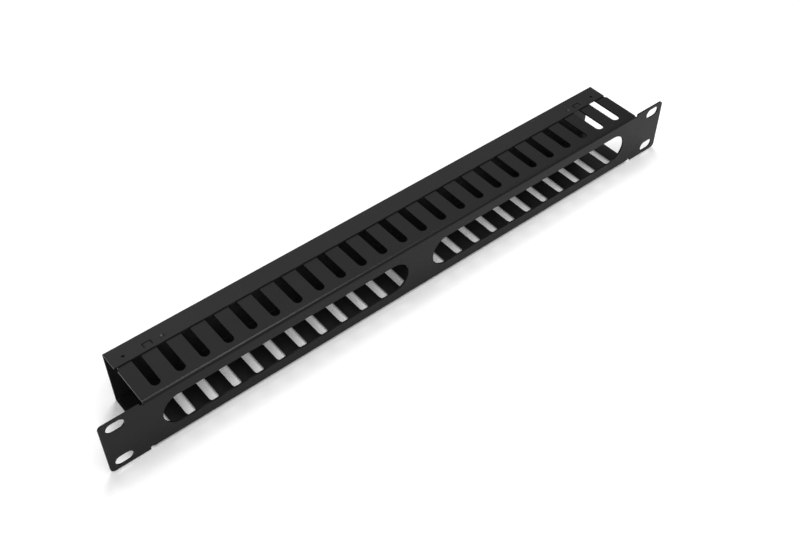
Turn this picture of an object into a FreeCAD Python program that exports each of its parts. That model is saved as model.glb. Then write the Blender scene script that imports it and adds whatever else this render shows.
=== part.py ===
"""Horizontal cable manager for a 19-inch rack, one rack unit high, with a clip-on cover.

Two folded sheets: the rack panel, whose top and bottom flanges are combs of cable fingers, and the
cover that clips over the finger tips.  Lengths are in millimetres.  X runs along the panel, Y runs
from the panel's rail side to the cover's face, and Z is up from the cover's lower face.
"""
import FreeCAD, Part
import math
import os

import Sketcher

SIZES = [
    ("panel_width", 482.6, "19-inch rack panel, end to end"),
    ("panel_height", 44.4, "one rack unit"),
    ("panel_sheet", 1.2, "sheet of the rack panel"),
    ("panel_bend", 0.8, "inside radius of the flange bends"),
    ("ear_corner", 3.0, "rounded corners of the ears"),
    ("ear_width", 29.9, "end of the panel to the end of the flanges"),
    ("bolt_slot_length", 12.4, "rack bolt slots, end to end"),
    ("bolt_slot_height", 8.0, "rack bolt slots, across"),
    ("bolt_slot_inset", 10.3, "end of the panel to the middle of a bolt slot"),
    ("bolt_slot_edge", 6.325, "long edge of the panel to the middle of a bolt slot"),
    ("window_margin", 9.9, "end of a flange to the end of a window"),
    ("window_height", 25.2, "long windows, across"),
    ("window_gap", 21.7, "bridge between the two windows"),
    ("finger_reach", 46.0, "rail face to the finger tips"),
    ("finger_end", 8.0, "an end finger is at least this wide"),
    ("finger_pitch", 17.2, "slot to slot"),
    ("finger_gap", 6.6, "width of a slot between two fingers"),
    ("finger_root", 6.2, "rail face to the round root of a slot"),
    ("finger_corner", 2.0, "rounded corners of the finger tips"),
    ("end_step", 1.2, "how far the end fingers step in under the cover"),
    ("end_step_lead", 0.7, "the step is complete this far before the edge of the cover's lip"),
    ("end_step_slant", 1.8, "slanting start of the step"),
    ("relief_width", 2.5, "notch between a flange and an ear"),
    ("relief_margin", 0.2, "how far a notch runs past the bend"),
    ("cover_sheet", 0.8, "sheet of the cover"),
    ("cover_bend", 0.6, "inside radius of the cover's bends"),
    ("cover_gap", 0.15, "running gap between a lip and a flange"),
    ("cover_short", 0.1, "each end of the cover stops this short of the flanges, when centred"),
    ("cover_shift", 1.2, "how far the cover sits off centre, towards the left end"),
    ("cover_lip", 15.0, "cover face to the edge of a lip"),
    ("tip_gap", 0.5, "finger tips to the inside of the cover"),
    ("hole_width", 2.2, "small round hole in a lip"),
    ("hole_inset", 8.9, "end of the cover to the hole"),
    ("hole_depth", 10.0, "cover face to the hole"),
    ("tongue_length", 5.0, "latch tongue, along the lip"),
    ("tongue_width", 3.2, "latch tongue, from its root to its free edge"),
    ("tongue_slit", 0.7, "slit round the latch tongue"),
    ("tongue_inset", 25.3, "end of the cover to the middle of the tongue"),
    ("tongue_depth", 12.4, "cover face to the root of the tongue"),
    ("pip_width", 4.0, "pressed pip in a lip, across"),
    ("pip_sink", 0.4, "depth of the pip below the lip's face"),
    ("pip_inset", 35.6, "end of the cover to the middle of the pip"),
    ("pip_depth", 11.2, "cover face to the middle of the pip"),
]
OVERRUN = 5.0       # how far a cut runs out past the sheet's edge
TOUCH = 1e-4        # two places nearer than this are the same


class Size:
    """A length with its value and the spreadsheet expression that gives it."""

    def __init__(self, value, text=None):
        self.value = value
        self.text = text or str(value)

    def joined(self, sign, other, value):
        return Size(value, f"({self.text} {sign} {other.text})")

    def __add__(self, other):
        return self.joined("+", other, self.value + other.value)

    def __sub__(self, other):
        return self.joined("-", other, self.value - other.value)

    def __mul__(self, other):
        return self.joined("*", other, self.value * other.value)

    def __truediv__(self, other):
        return self.joined("/", other, self.value / other.value)

    def __neg__(self):
        return Size(-self.value, f"(-1 * {self.text})")

    def whole(self):
        """Return the whole part of this size."""
        return Size(math.floor(self.value), f"floor({self.text})")


def write_sheet(doc):
    """Put every driving size in the document's sheet and return them by name."""
    sheet = doc.addObject("Spreadsheet::Sheet", "sizes")
    sizes = {}
    for row, (name, value, meaning) in enumerate(SIZES, start=1):
        sheet.set(f"A{row}", name)
        sheet.set(f"B{row}", str(value))
        sheet.set(f"C{row}", meaning)
        sheet.setAlias(f"B{row}", name)
        sizes[name] = Size(value, f"sizes.{name}")
    doc.recompute()
    return sizes


def origin_part(body, role):
    """Return the origin plane or axis of a body that has this role."""
    return next(item for item in body.Origin.OriginFeatures if item.Role == role)


class Drawing:
    """A sketch on an origin plane of a body, with every place in it bound to the sheet."""

    def __init__(self, body, name, plane):
        self.sketch = body.newObject("Sketcher::SketchObject", name)
        self.sketch.AttachmentSupport = [(origin_part(body, plane), "")]
        self.sketch.MapMode = "FlatFace"

    def rule(self, kind, *references):
        self.sketch.addConstraint(Sketcher.Constraint(kind, *references))

    def hold(self, size, kind, *references):
        """Set one distance and bind it to the sheet."""
        index = self.sketch.addConstraint(Sketcher.Constraint(kind, *references, size.value))
        self.sketch.setExpression(f"Constraints[{index}]", size.text)

    def place(self, item, point, x, y):
        """Hold a point at x, y from the sketch's origin, where None means on that axis."""
        for kind, size, axis in (("DistanceX", x, -2), ("DistanceY", y, -1)):
            if size is None:
                self.rule("PointOnObject", item, point, axis)
            elif size.value < 0:
                self.hold(-size, kind, item, point, -1, 1)
            else:
                self.hold(size, kind, -1, 1, item, point)

    def line(self, start, end):
        places = [FreeCAD.Vector(*(size.value if size else 0.0 for size in point)) for point in (start, end)]
        return self.sketch.addGeometry(Part.LineSegment(*places))

    def arc(self, centre, radius, first, last):
        """Draw an arc that runs anticlockwise between two directions, in quarter turns from +X."""
        middle = FreeCAD.Vector(*(size.value if size else 0.0 for size in centre))
        circle = Part.Circle(middle, FreeCAD.Vector(0, 0, 1), radius.value)
        return self.sketch.addGeometry(Part.ArcOfCircle(circle, first * math.pi / 2, last * math.pi / 2))

    def polygon(self, corners):
        """Draw a closed outline through corners, each an x and a y."""
        sides = [self.line(start, end) for start, end in zip(corners, corners[1:] + corners[:1])]
        for side, following in zip(sides, sides[1:] + sides[:1]):
            self.rule("Coincident", side, 2, following, 1)
        for side, (x, y) in zip(sides, corners):
            self.place(side, 1, x, y)

    def circle(self, x, y, width):
        middle = FreeCAD.Vector(x.value, y.value)
        ring = self.sketch.addGeometry(Part.Circle(middle, FreeCAD.Vector(0, 0, 1), width.value / 2))
        self.place(ring, 3, x, y)
        self.hold(width, "Diameter", ring)

    def stadium(self, x, y, length, width):
        """Draw a round-ended slot along the sketch's x."""
        radius = width / Size(2)
        reach = (length - width) / Size(2)
        right = self.arc((x + reach, y), radius, -1, 1)
        top = self.line((x + reach, y + radius), (x - reach, y + radius))
        left = self.arc((x - reach, y), radius, 1, 3)
        bottom = self.line((x - reach, y - radius), (x + reach, y - radius))
        for one, following in ((right, top), (top, left), (left, bottom), (bottom, right)):
            self.rule("Tangent", one, 2, following, 1)
        self.place(right, 3, x + reach, y)
        self.place(left, 3, x - reach, y)
        self.hold(radius, "Radius", right)
        self.rule("Equal", right, left)

    def comb_gap(self, x, root, tip, width, corner, outer):
        """Draw a slot along the sketch's y: a round root, straight sides and a mouth with round corners."""
        radius = width / Size(2)
        rise = root + radius
        turn = tip - corner
        west, east = x - radius, x + radius
        round_root = self.arc((x, rise), radius, 2, 4)
        east_side = self.line((east, rise), (east, turn))
        east_corner = self.arc((east + corner, turn), corner, 1, 2)
        east_end = self.line((east + corner, tip), (east + corner, outer))
        far_end = self.line((east + corner, outer), (west - corner, outer))
        west_end = self.line((west - corner, outer), (west - corner, tip))
        west_corner = self.arc((west - corner, turn), corner, 0, 1)
        west_side = self.line((west, turn), (west, rise))
        self.rule("Tangent", round_root, 2, east_side, 1)
        self.rule("Tangent", east_side, 2, east_corner, 2)
        self.rule("Coincident", east_corner, 1, east_end, 1)
        self.rule("Coincident", east_end, 2, far_end, 1)
        self.rule("Coincident", far_end, 2, west_end, 1)
        self.rule("Coincident", west_end, 2, west_corner, 2)
        self.rule("Tangent", west_corner, 1, west_side, 1)
        self.rule("Tangent", west_side, 2, round_root, 1)
        for upright in (east_side, east_end, west_end, west_side):
            self.rule("Vertical", upright)
        self.rule("Horizontal", far_end)
        self.place(round_root, 3, x, rise)
        self.hold(radius, "Radius", round_root)
        for bend in (east_corner, west_corner):
            self.hold(corner, "Radius", bend)
            self.hold(turn, "DistanceY", -1, 1, bend, 3)
            self.rule("Vertical", bend, 3, bend, 1 if bend == east_corner else 2)
        self.hold(outer, "DistanceY", -1, 1, far_end, 1)


def channel(low, high, web, web_inside, tips, sheet):
    """Return the corners of a C section in Y and Z, where None is a place on the sketch's axis."""
    low_inside = low + sheet if low else sheet
    return [(web, low), (tips, low), (tips, low_inside), (web_inside, low_inside),
            (web_inside, high - sheet), (tips, high - sheet), (tips, high), (web, high)]


def pad(body, name, drawing, length, both_ways=False, backwards=False):
    """Extrude a drawing; both_ways spreads the length equally about its plane."""
    feature = body.newObject("PartDesign::Pad", name)
    feature.Profile = drawing.sketch
    feature.setExpression("Length", length.text)
    feature.SideType = "Symmetric" if both_ways else "One side"
    feature.Reversed = backwards
    body.Document.recompute()
    return feature


def cut_through(body, name, drawing, both_ways=False):
    """Cut a drawing right through the body, up or back from its plane, or both ways."""
    before = body.Shape.Volume
    feature = body.newObject("PartDesign::Pocket", name)
    feature.Profile = drawing.sketch
    feature.Type = "ThroughAll"
    feature.SideType = "Symmetric" if both_ways else "One side"
    body.Document.recompute()
    if feature.Shape.Volume >= before - TOUCH:
        raise RuntimeError(f"{name} cuts nothing")
    return feature


def mirror_ends(body, name, features):
    """Repeat features at the other end of the body."""
    mirrored = body.newObject("PartDesign::Mirrored", name)
    mirrored.Originals = features
    mirrored.MirrorPlane = (origin_part(body, "YZ_Plane"), [""])
    body.Tip = mirrored
    body.Document.recompute()


def round_edges(body, name, radius, *places):
    """Round the straight edges that keep to a place, each a dictionary of y and z or of other axes."""
    base = body.Tip
    names = []
    for number, edge in enumerate(base.Shape.Edges, start=1):
        ends = [vertex.Point for vertex in edge.Vertexes]
        for place in places:
            offsets = [abs(getattr(end, axis) - value) for end in ends for axis, value in place.items()]
            if len(ends) == 2 and max(offsets) < TOUCH:
                names.append(f"Edge{number}")
    fillet = body.newObject("PartDesign::Fillet", name)
    fillet.Base = (base, names)
    fillet.setExpression("Radius", radius.text)
    body.Document.recompute()


def make_rack_panel(doc, s):
    """Fold the rack panel: ears, windows and two combs of cable fingers."""
    body = doc.addObject("PartDesign::Body", "rack_panel")
    body.Label = "rack_panel"
    two = Size(2)
    half_width = s["panel_width"] / two
    half_flange = half_flange_of(s)
    half_relief = half_flange + s["relief_width"]
    height = s["panel_height"]
    outer_bend = s["panel_bend"] + s["panel_sheet"]
    relief = outer_bend + s["relief_margin"]
    relief_top = height - relief

    section = Drawing(body, "flange_section", "YZ_Plane")
    section.polygon(channel(None, height, None, s["panel_sheet"], s["finger_reach"],
                            s["panel_sheet"]))
    pad(body, "flanges", section, half_flange * two, both_ways=True)
    inside = s["panel_sheet"].value
    round_edges(body, "panel_outer_bends", outer_bend, {"y": 0.0, "z": 0.0}, {"y": 0.0, "z": height.value})
    round_edges(body, "panel_inner_bends", s["panel_bend"], {"y": inside, "z": inside},
                {"y": inside, "z": height.value - inside})

    plate = Drawing(body, "plate_outline", "XZ_Plane")
    plate.polygon([(-half_width, None), (-half_relief, None), (-half_relief, relief), (half_relief, relief),
                   (half_relief, None), (half_width, None), (half_width, height), (half_relief, height),
                   (half_relief, relief_top), (-half_relief, relief_top), (-half_relief, height),
                   (-half_width, height)])
    pad(body, "plate", plate, s["panel_sheet"], backwards=True)
    round_edges(body, "ear_corners", s["ear_corner"],
                *({"x": x, "z": z} for x in (-half_width.value, half_width.value)
                  for z in (0.0, height.value)))

    window_start = s["window_gap"] / two
    window_end = half_flange - s["window_margin"]
    window_outline = Drawing(body, "window_outline", "XZ_Plane")
    window_outline.stadium((window_start + window_end) / two, height / two, window_end - window_start,
                           s["window_height"])
    window = cut_through(body, "window", window_outline)
    bolt_outline = Drawing(body, "bolt_slot_outline", "XZ_Plane")
    for level in (s["bolt_slot_edge"], height - s["bolt_slot_edge"]):
        bolt_outline.stadium(half_width - s["bolt_slot_inset"], level,
                             s["bolt_slot_length"], s["bolt_slot_height"])
    bolt_slots = cut_through(body, "bolt_slots", bolt_outline)

    step_inner = half_flange - s["end_step"]
    step_outer = half_flange + Size(OVERRUN)
    step_beyond = s["finger_reach"] + Size(OVERRUN)
    step_full = depth_of(s) - s["cover_lip"] - s["end_step_lead"]
    step_start = step_full - s["end_step_slant"]
    step_outline = Drawing(body, "end_step_outline", "XY_Plane")
    step_outline.polygon([(half_flange, step_start), (step_outer, step_start), (step_outer, step_beyond),
                          (step_inner, step_beyond), (step_inner, step_full)])
    end_step = cut_through(body, "end_step", step_outline, both_ways=True)
    mirror_ends(body, "both_ends", [window, bolt_slots, end_step])

    gap_room = (half_flange - s["finger_end"]) * two - s["finger_gap"]
    gaps_after_first = (gap_room / s["finger_pitch"]).whole()
    first_gap = -gaps_after_first * s["finger_pitch"] / two
    gap_outline = Drawing(body, "finger_gap_outline", "XY_Plane")
    gap_outline.comb_gap(first_gap, s["finger_root"], s["finger_reach"], s["finger_gap"],
                         s["finger_corner"], s["finger_reach"] + Size(OVERRUN))
    finger_gap = cut_through(body, "finger_gap", gap_outline, both_ways=True)
    comb = body.newObject("PartDesign::LinearPattern", "finger_comb")
    comb.Originals = [finger_gap]
    comb.Direction = (origin_part(body, "X_Axis"), [""])
    comb.Mode = "Spacing"
    comb.setExpression("Offset", s["finger_pitch"].text)
    comb.setExpression("Occurrences", (gaps_after_first + Size(1)).text)
    body.Tip = comb
    doc.recompute()

    round_edges(body, "end_finger_corners", s["finger_corner"],
                *({"x": x, "y": s["finger_reach"].value} for x in (-step_inner.value, step_inner.value)))
    return body


def make_cover(doc, s):
    """Fold the cover: a shallow channel whose lips snap over the fingers."""
    body = doc.addObject("PartDesign::Body", "cover")
    body.Label = "cover"
    two = Size(2)
    face = depth_of(s)
    half_length = half_flange_of(s) - s["cover_short"]
    outer_bend = s["cover_bend"] + s["cover_sheet"]
    sheet = s["cover_sheet"]
    low = -lip_rise_of(s)
    high = s["panel_height"] + lip_rise_of(s)

    section = Drawing(body, "cover_section", "YZ_Plane")
    section.polygon(channel(low, high, face, face - sheet, face - s["cover_lip"], sheet))
    pad(body, "channel", section, half_length * two, both_ways=True)
    round_edges(body, "cover_outer_bends", outer_bend, {"y": face.value, "z": low.value},
                {"y": face.value, "z": high.value})
    inside = (face - sheet).value
    round_edges(body, "cover_inner_bends", s["cover_bend"], {"y": inside, "z": (low + sheet).value},
                {"y": inside, "z": (high - sheet).value})

    latch = Drawing(body, "latch_outline", "XY_Plane")
    latch.circle(half_length - s["hole_inset"], face - s["hole_depth"], s["hole_width"])
    centre = half_length - s["tongue_inset"]
    inner_x = s["tongue_length"] / two
    outer_x = inner_x + s["tongue_slit"]
    root = face - s["tongue_depth"]
    free = root + s["tongue_width"]
    beyond = free + s["tongue_slit"]
    latch.polygon([(centre - outer_x, root), (centre - outer_x, beyond), (centre + outer_x, beyond),
                   (centre + outer_x, root), (centre + inner_x, root), (centre + inner_x, free),
                   (centre - inner_x, free), (centre - inner_x, root)])
    latches = cut_through(body, "latches", latch, both_ways=True)
    mirror_ends(body, "latches_both_ends", [latches])

    rim = s["pip_width"] / two
    ball = (rim * rim + s["pip_sink"] * s["pip_sink"]) / (s["pip_sink"] * two)
    pips = []
    upper, lower = high - s["pip_sink"] + ball, low + s["pip_sink"] - ball
    for name, height in (("upper_pip", upper), ("lower_pip", lower)):
        pip = body.newObject("PartDesign::SubtractiveSphere", name)
        pip.setExpression("Radius", ball.text)
        pip.setExpression("Placement.Base.x", (half_length - s["pip_inset"]).text)
        pip.setExpression("Placement.Base.y", (face - s["pip_depth"]).text)
        pip.setExpression("Placement.Base.z", height.text)
        doc.recompute()
        pips.append(pip)
    mirror_ends(body, "pips_both_ends", pips)
    body.setExpression("Placement.Base.x", (-s["cover_shift"]).text)
    return body


def half_flange_of(s):
    """Return the distance from the middle of the panel to the end of its flanges."""
    return s["panel_width"] / Size(2) - s["ear_width"]


def lip_rise_of(s):
    """Return how far a lip's outer face stands off the flange's outer face."""
    return s["cover_sheet"] + s["cover_gap"]


def depth_of(s):
    """Return the distance from the rail face to the cover's face."""
    return s["finger_reach"] + s["tip_gap"] + s["cover_sheet"]


def check(doc):
    """Stop at the first object that failed or is not a sound solid."""
    for item in doc.Objects:
        if "Invalid" in item.State or "Error" in item.State:
            raise RuntimeError(f"{item.Name} failed: {item.State}")
    for item in doc.Objects:
        if item.isDerivedFrom("PartDesign::Feature"):
            if item.Shape.isNull() or not item.Shape.isValid():
                raise RuntimeError(f"{item.Name} has no sound shape")


def main():
    doc = FreeCAD.newDocument("cable_manager")
    sizes = write_sheet(doc)
    bodies = [make_rack_panel(doc, sizes), make_cover(doc, sizes)]
    for body in bodies:
        body.setExpression("Placement.Base.y", (-depth_of(sizes) / Size(2)).text)
        body.setExpression("Placement.Base.z", lip_rise_of(sizes).text)
    doc.recompute()
    check(doc)
    os.makedirs("parts", exist_ok=True)
    for body in bodies:
        body.Shape.exportStep(f"parts/{body.Label}.step")
        box = body.Shape.BoundBox
        print(f"{body.Label}: {body.Shape.Volume:.1f} mm3, {len(body.Shape.Solids)} solid, "
              f"x {box.XMin:.2f} {box.XMax:.2f}, y {box.YMin:.2f} {box.YMax:.2f}, "
              f"z {box.ZMin:.2f} {box.ZMax:.2f}")


main()
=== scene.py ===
"""Dress the horizontal cable manager: black powder-coated sheet metal on a white floor."""
import math

import bpy
from mathutils import Matrix, Vector

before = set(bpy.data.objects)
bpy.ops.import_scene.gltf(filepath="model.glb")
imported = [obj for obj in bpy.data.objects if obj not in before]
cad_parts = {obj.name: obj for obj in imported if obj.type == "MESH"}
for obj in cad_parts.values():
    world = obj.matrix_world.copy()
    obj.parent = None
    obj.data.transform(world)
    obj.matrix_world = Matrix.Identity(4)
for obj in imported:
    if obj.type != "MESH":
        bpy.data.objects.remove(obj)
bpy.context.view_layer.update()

# The powder coat. Lengths are in metres, and a noise's scale is in cells per metre.
COATS = {"rack_panel": (0.0114, 0.0115, 0.0117), "cover": (0.0166, 0.0167, 0.0169)}
SPECULAR_LEVEL = 0.135
GLOSS = 0.235, 0.285        # least and greatest roughness
SPECKLE = 0.9, 1.1          # darkest and lightest grain, as a share of the coat's colour
NOISE_SPAN = 0.3, 0.7       # the part of a noise's range that the gloss and the speckle use
GRAIN_SCALE = 2600.0
GRAIN_STRENGTH, GRAIN_HEIGHT = 0.12, 0.00006
DRIFT_SCALE = 45.0

# The floor and the surround.
FLOOR_SIDE = 12.0
FLOOR_DROP = 0.00005        # keeps the floor clear of the faces that rest on it
FLOOR_TONE, FLOOR_SEEN_TONE = 0.84, 0.95    # to the light, and to the camera
FLOOR_GLOW = 0.105          # added where the camera sees the floor
FADE_START, FADE_END = 0.45, 0.9    # the floor turns plain white between these distances
SURROUND_TONE = 0.26
WHITE = (1.0, 1.0, 1.0, 1.0)

# The soft lights. Their strengths and the coat's values were fitted together to the photo's tones,
# then merged, changed and rounded.
SOFTBOXES = [
    # name, azimuth, elevation, distance, side, radiance
    ("overhead", 40.0, 70.0, 2.40, 0.60, 15.5),
    ("overhead_side", 80.0, 78.0, 2.40, 0.60, 6.3),
    ("high_right", 120.0, 62.0, 2.50, 1.15, 2.4),
    ("high_front", 180.0, 62.0, 2.50, 1.15, 3.5),
    ("high_left", 240.0, 62.0, 2.50, 1.15, 0.7),
    ("high_back", 30.0, 45.0, 2.50, 1.70, 0.6),
    ("mid_back", 0.0, 37.0, 2.50, 1.15, 1.0),
    ("low_front", 210.0, 12.0, 2.50, 1.05, 0.9),
    ("low_left", 240.0, 12.0, 2.50, 1.05, 1.1),
]

# The camera, fitted to the photo.
CAMERA_PLACE = (-0.33535, -0.40913, 0.55237)
CAMERA_AZIMUTH, CAMERA_DIP, CAMERA_ROLL = 39.42, 46.15, 0.19
LENS, SENSOR_WIDTH = 48.53, 36.0
CLIP_START = 0.01


def grey(tone):
    """Return an opaque grey."""
    return (tone, tone, tone, 1.0)


def node(tree, kind, **inputs):
    """Add a shader node and set its inputs by name."""
    made = tree.nodes.new(kind)
    for name, value in inputs.items():
        made.inputs[name.replace("_", " ")].default_value = value
    return made


def powder_coat(name, colour):
    """Black semi-matt coat with a skin of fused grains and a gloss that drifts slowly."""
    material = bpy.data.materials.new(name)
    material.use_nodes = True
    tree = material.node_tree
    shader = tree.nodes["Principled BSDF"]
    shader.inputs["Specular IOR Level"].default_value = SPECULAR_LEVEL
    place = tree.nodes.new("ShaderNodeTexCoord")
    grain = node(tree, "ShaderNodeTexNoise", Scale=GRAIN_SCALE, Detail=3.0, Roughness=0.6)
    bump = node(tree, "ShaderNodeBump", Strength=GRAIN_STRENGTH, Distance=GRAIN_HEIGHT)
    drift = node(tree, "ShaderNodeTexNoise", Scale=DRIFT_SCALE, Detail=4.0, Roughness=0.6)
    gloss = node(tree, "ShaderNodeMapRange", From_Min=NOISE_SPAN[0], From_Max=NOISE_SPAN[1],
                 To_Min=GLOSS[0], To_Max=GLOSS[1])
    tone = tree.nodes.new("ShaderNodeValToRGB")
    for stop, position, shade in zip(tone.color_ramp.elements, NOISE_SPAN, SPECKLE):
        stop.position = position
        stop.color = [shade * channel for channel in colour] + [1.0]
    link = tree.links.new
    link(place.outputs["Object"], grain.inputs["Vector"])
    link(grain.outputs["Fac"], bump.inputs["Height"])
    link(bump.outputs["Normal"], shader.inputs["Normal"])
    link(grain.outputs["Fac"], tone.inputs["Fac"])
    link(tone.outputs["Color"], shader.inputs["Base Color"])
    link(place.outputs["Object"], drift.inputs["Vector"])
    link(drift.outputs["Fac"], gloss.inputs["Value"])
    link(gloss.outputs["Result"], shader.inputs["Roughness"])
    return material


def dress_nodes():
    """Coat both sheets. The cover's colour is set a shade lighter than the panel's."""
    for name, colour in COATS.items():
        coat = powder_coat(name + "_coat", colour)
        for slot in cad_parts[name].material_slots:
            slot.material = coat


def make_floor():
    """A pale floor that takes the object's shadow and that the camera sees as white further off."""
    bpy.ops.mesh.primitive_plane_add(size=FLOOR_SIDE, location=(0, 0, -FLOOR_DROP))
    floor = bpy.context.object
    floor.name = "floor"
    material = bpy.data.materials.new("floor")
    material.use_nodes = True
    tree = material.node_tree
    tree.nodes.clear()
    matt = node(tree, "ShaderNodeBsdfDiffuse", Color=grey(FLOOR_TONE))
    shown = node(tree, "ShaderNodeBsdfDiffuse", Color=grey(FLOOR_SEEN_TONE))
    glow = node(tree, "ShaderNodeEmission", Color=WHITE, Strength=FLOOR_GLOW)
    near = tree.nodes.new("ShaderNodeAddShader")
    far = node(tree, "ShaderNodeEmission", Color=WHITE, Strength=1.0)
    place = tree.nodes.new("ShaderNodeTexCoord")
    away = tree.nodes.new("ShaderNodeVectorMath")
    away.operation = "LENGTH"
    fade = node(tree, "ShaderNodeMapRange", From_Min=FADE_START, From_Max=FADE_END)
    seen = tree.nodes.new("ShaderNodeMixShader")
    path = tree.nodes.new("ShaderNodeLightPath")
    pick = tree.nodes.new("ShaderNodeMixShader")
    out = tree.nodes.new("ShaderNodeOutputMaterial")
    link = tree.links.new
    link(shown.outputs[0], near.inputs[0])
    link(glow.outputs[0], near.inputs[1])
    link(place.outputs["Object"], away.inputs[0])
    link(away.outputs["Value"], fade.inputs["Value"])
    link(fade.outputs["Result"], seen.inputs[0])
    link(near.outputs[0], seen.inputs[1])
    link(far.outputs[0], seen.inputs[2])
    link(path.outputs["Is Camera Ray"], pick.inputs[0])
    link(matt.outputs[0], pick.inputs[1])
    link(seen.outputs[0], pick.inputs[2])
    link(pick.outputs[0], out.inputs["Surface"])
    floor.data.materials.append(material)


def make_world():
    """A plain dim surround that the camera sees as white."""
    world = bpy.data.worlds.new("studio")
    bpy.context.scene.world = world
    world.use_nodes = True
    tree = world.node_tree
    tree.nodes.clear()
    surround = node(tree, "ShaderNodeBackground", Color=grey(SURROUND_TONE), Strength=1.0)
    white = node(tree, "ShaderNodeBackground", Color=WHITE, Strength=1.0)
    path = tree.nodes.new("ShaderNodeLightPath")
    pick = tree.nodes.new("ShaderNodeMixShader")
    out = tree.nodes.new("ShaderNodeOutputWorld")
    link = tree.links.new
    link(path.outputs["Is Camera Ray"], pick.inputs[0])
    link(surround.outputs[0], pick.inputs[1])
    link(white.outputs[0], pick.inputs[2])
    link(pick.outputs[0], out.inputs["Surface"])


def way(azimuth, elevation):
    """Return the unit vector at these degrees. Azimuth runs from +Y towards +X."""
    turn, rise = math.radians(azimuth), math.radians(elevation)
    return Vector((math.sin(turn) * math.cos(rise), math.cos(turn) * math.cos(rise),
                   math.sin(rise)))


def aim(place, target, roll=0.0):
    """Return the matrix of a lamp or camera at a place that looks at a target."""
    turn = (Vector(target) - Vector(place)).to_track_quat("-Z", "Y").to_matrix().to_4x4()
    return Matrix.Translation(place) @ turn @ Matrix.Rotation(roll, 4, "Z")


def softbox(name, azimuth, elevation, distance, side, radiance):
    """Hang a square soft light that faces the object."""
    lamp = bpy.data.lights.new(name, "AREA")
    lamp.shape = "SQUARE"
    lamp.size = side
    lamp.energy = math.pi * side * side * radiance
    holder = bpy.data.objects.new(name, lamp)
    bpy.context.collection.objects.link(holder)
    holder.matrix_world = aim(way(azimuth, elevation) * distance, (0.0, 0.0, 0.0))


def make_camera():
    """Stand where the photographer stood: above the rail side, off the left end."""
    place = Vector(CAMERA_PLACE)
    data = bpy.data.cameras.new("camera")
    data.sensor_width = SENSOR_WIDTH
    data.lens = LENS
    data.clip_start = CLIP_START
    camera = bpy.data.objects.new("camera", data)
    bpy.context.collection.objects.link(camera)
    camera.matrix_world = aim(place, place + way(CAMERA_AZIMUTH, -CAMERA_DIP),
                              math.radians(CAMERA_ROLL))
    bpy.context.scene.camera = camera


bpy.context.scene.view_settings.view_transform = "Standard"
make_camera()
make_world()
for box in SOFTBOXES:
    softbox(*box)
make_floor()
dress_nodes()
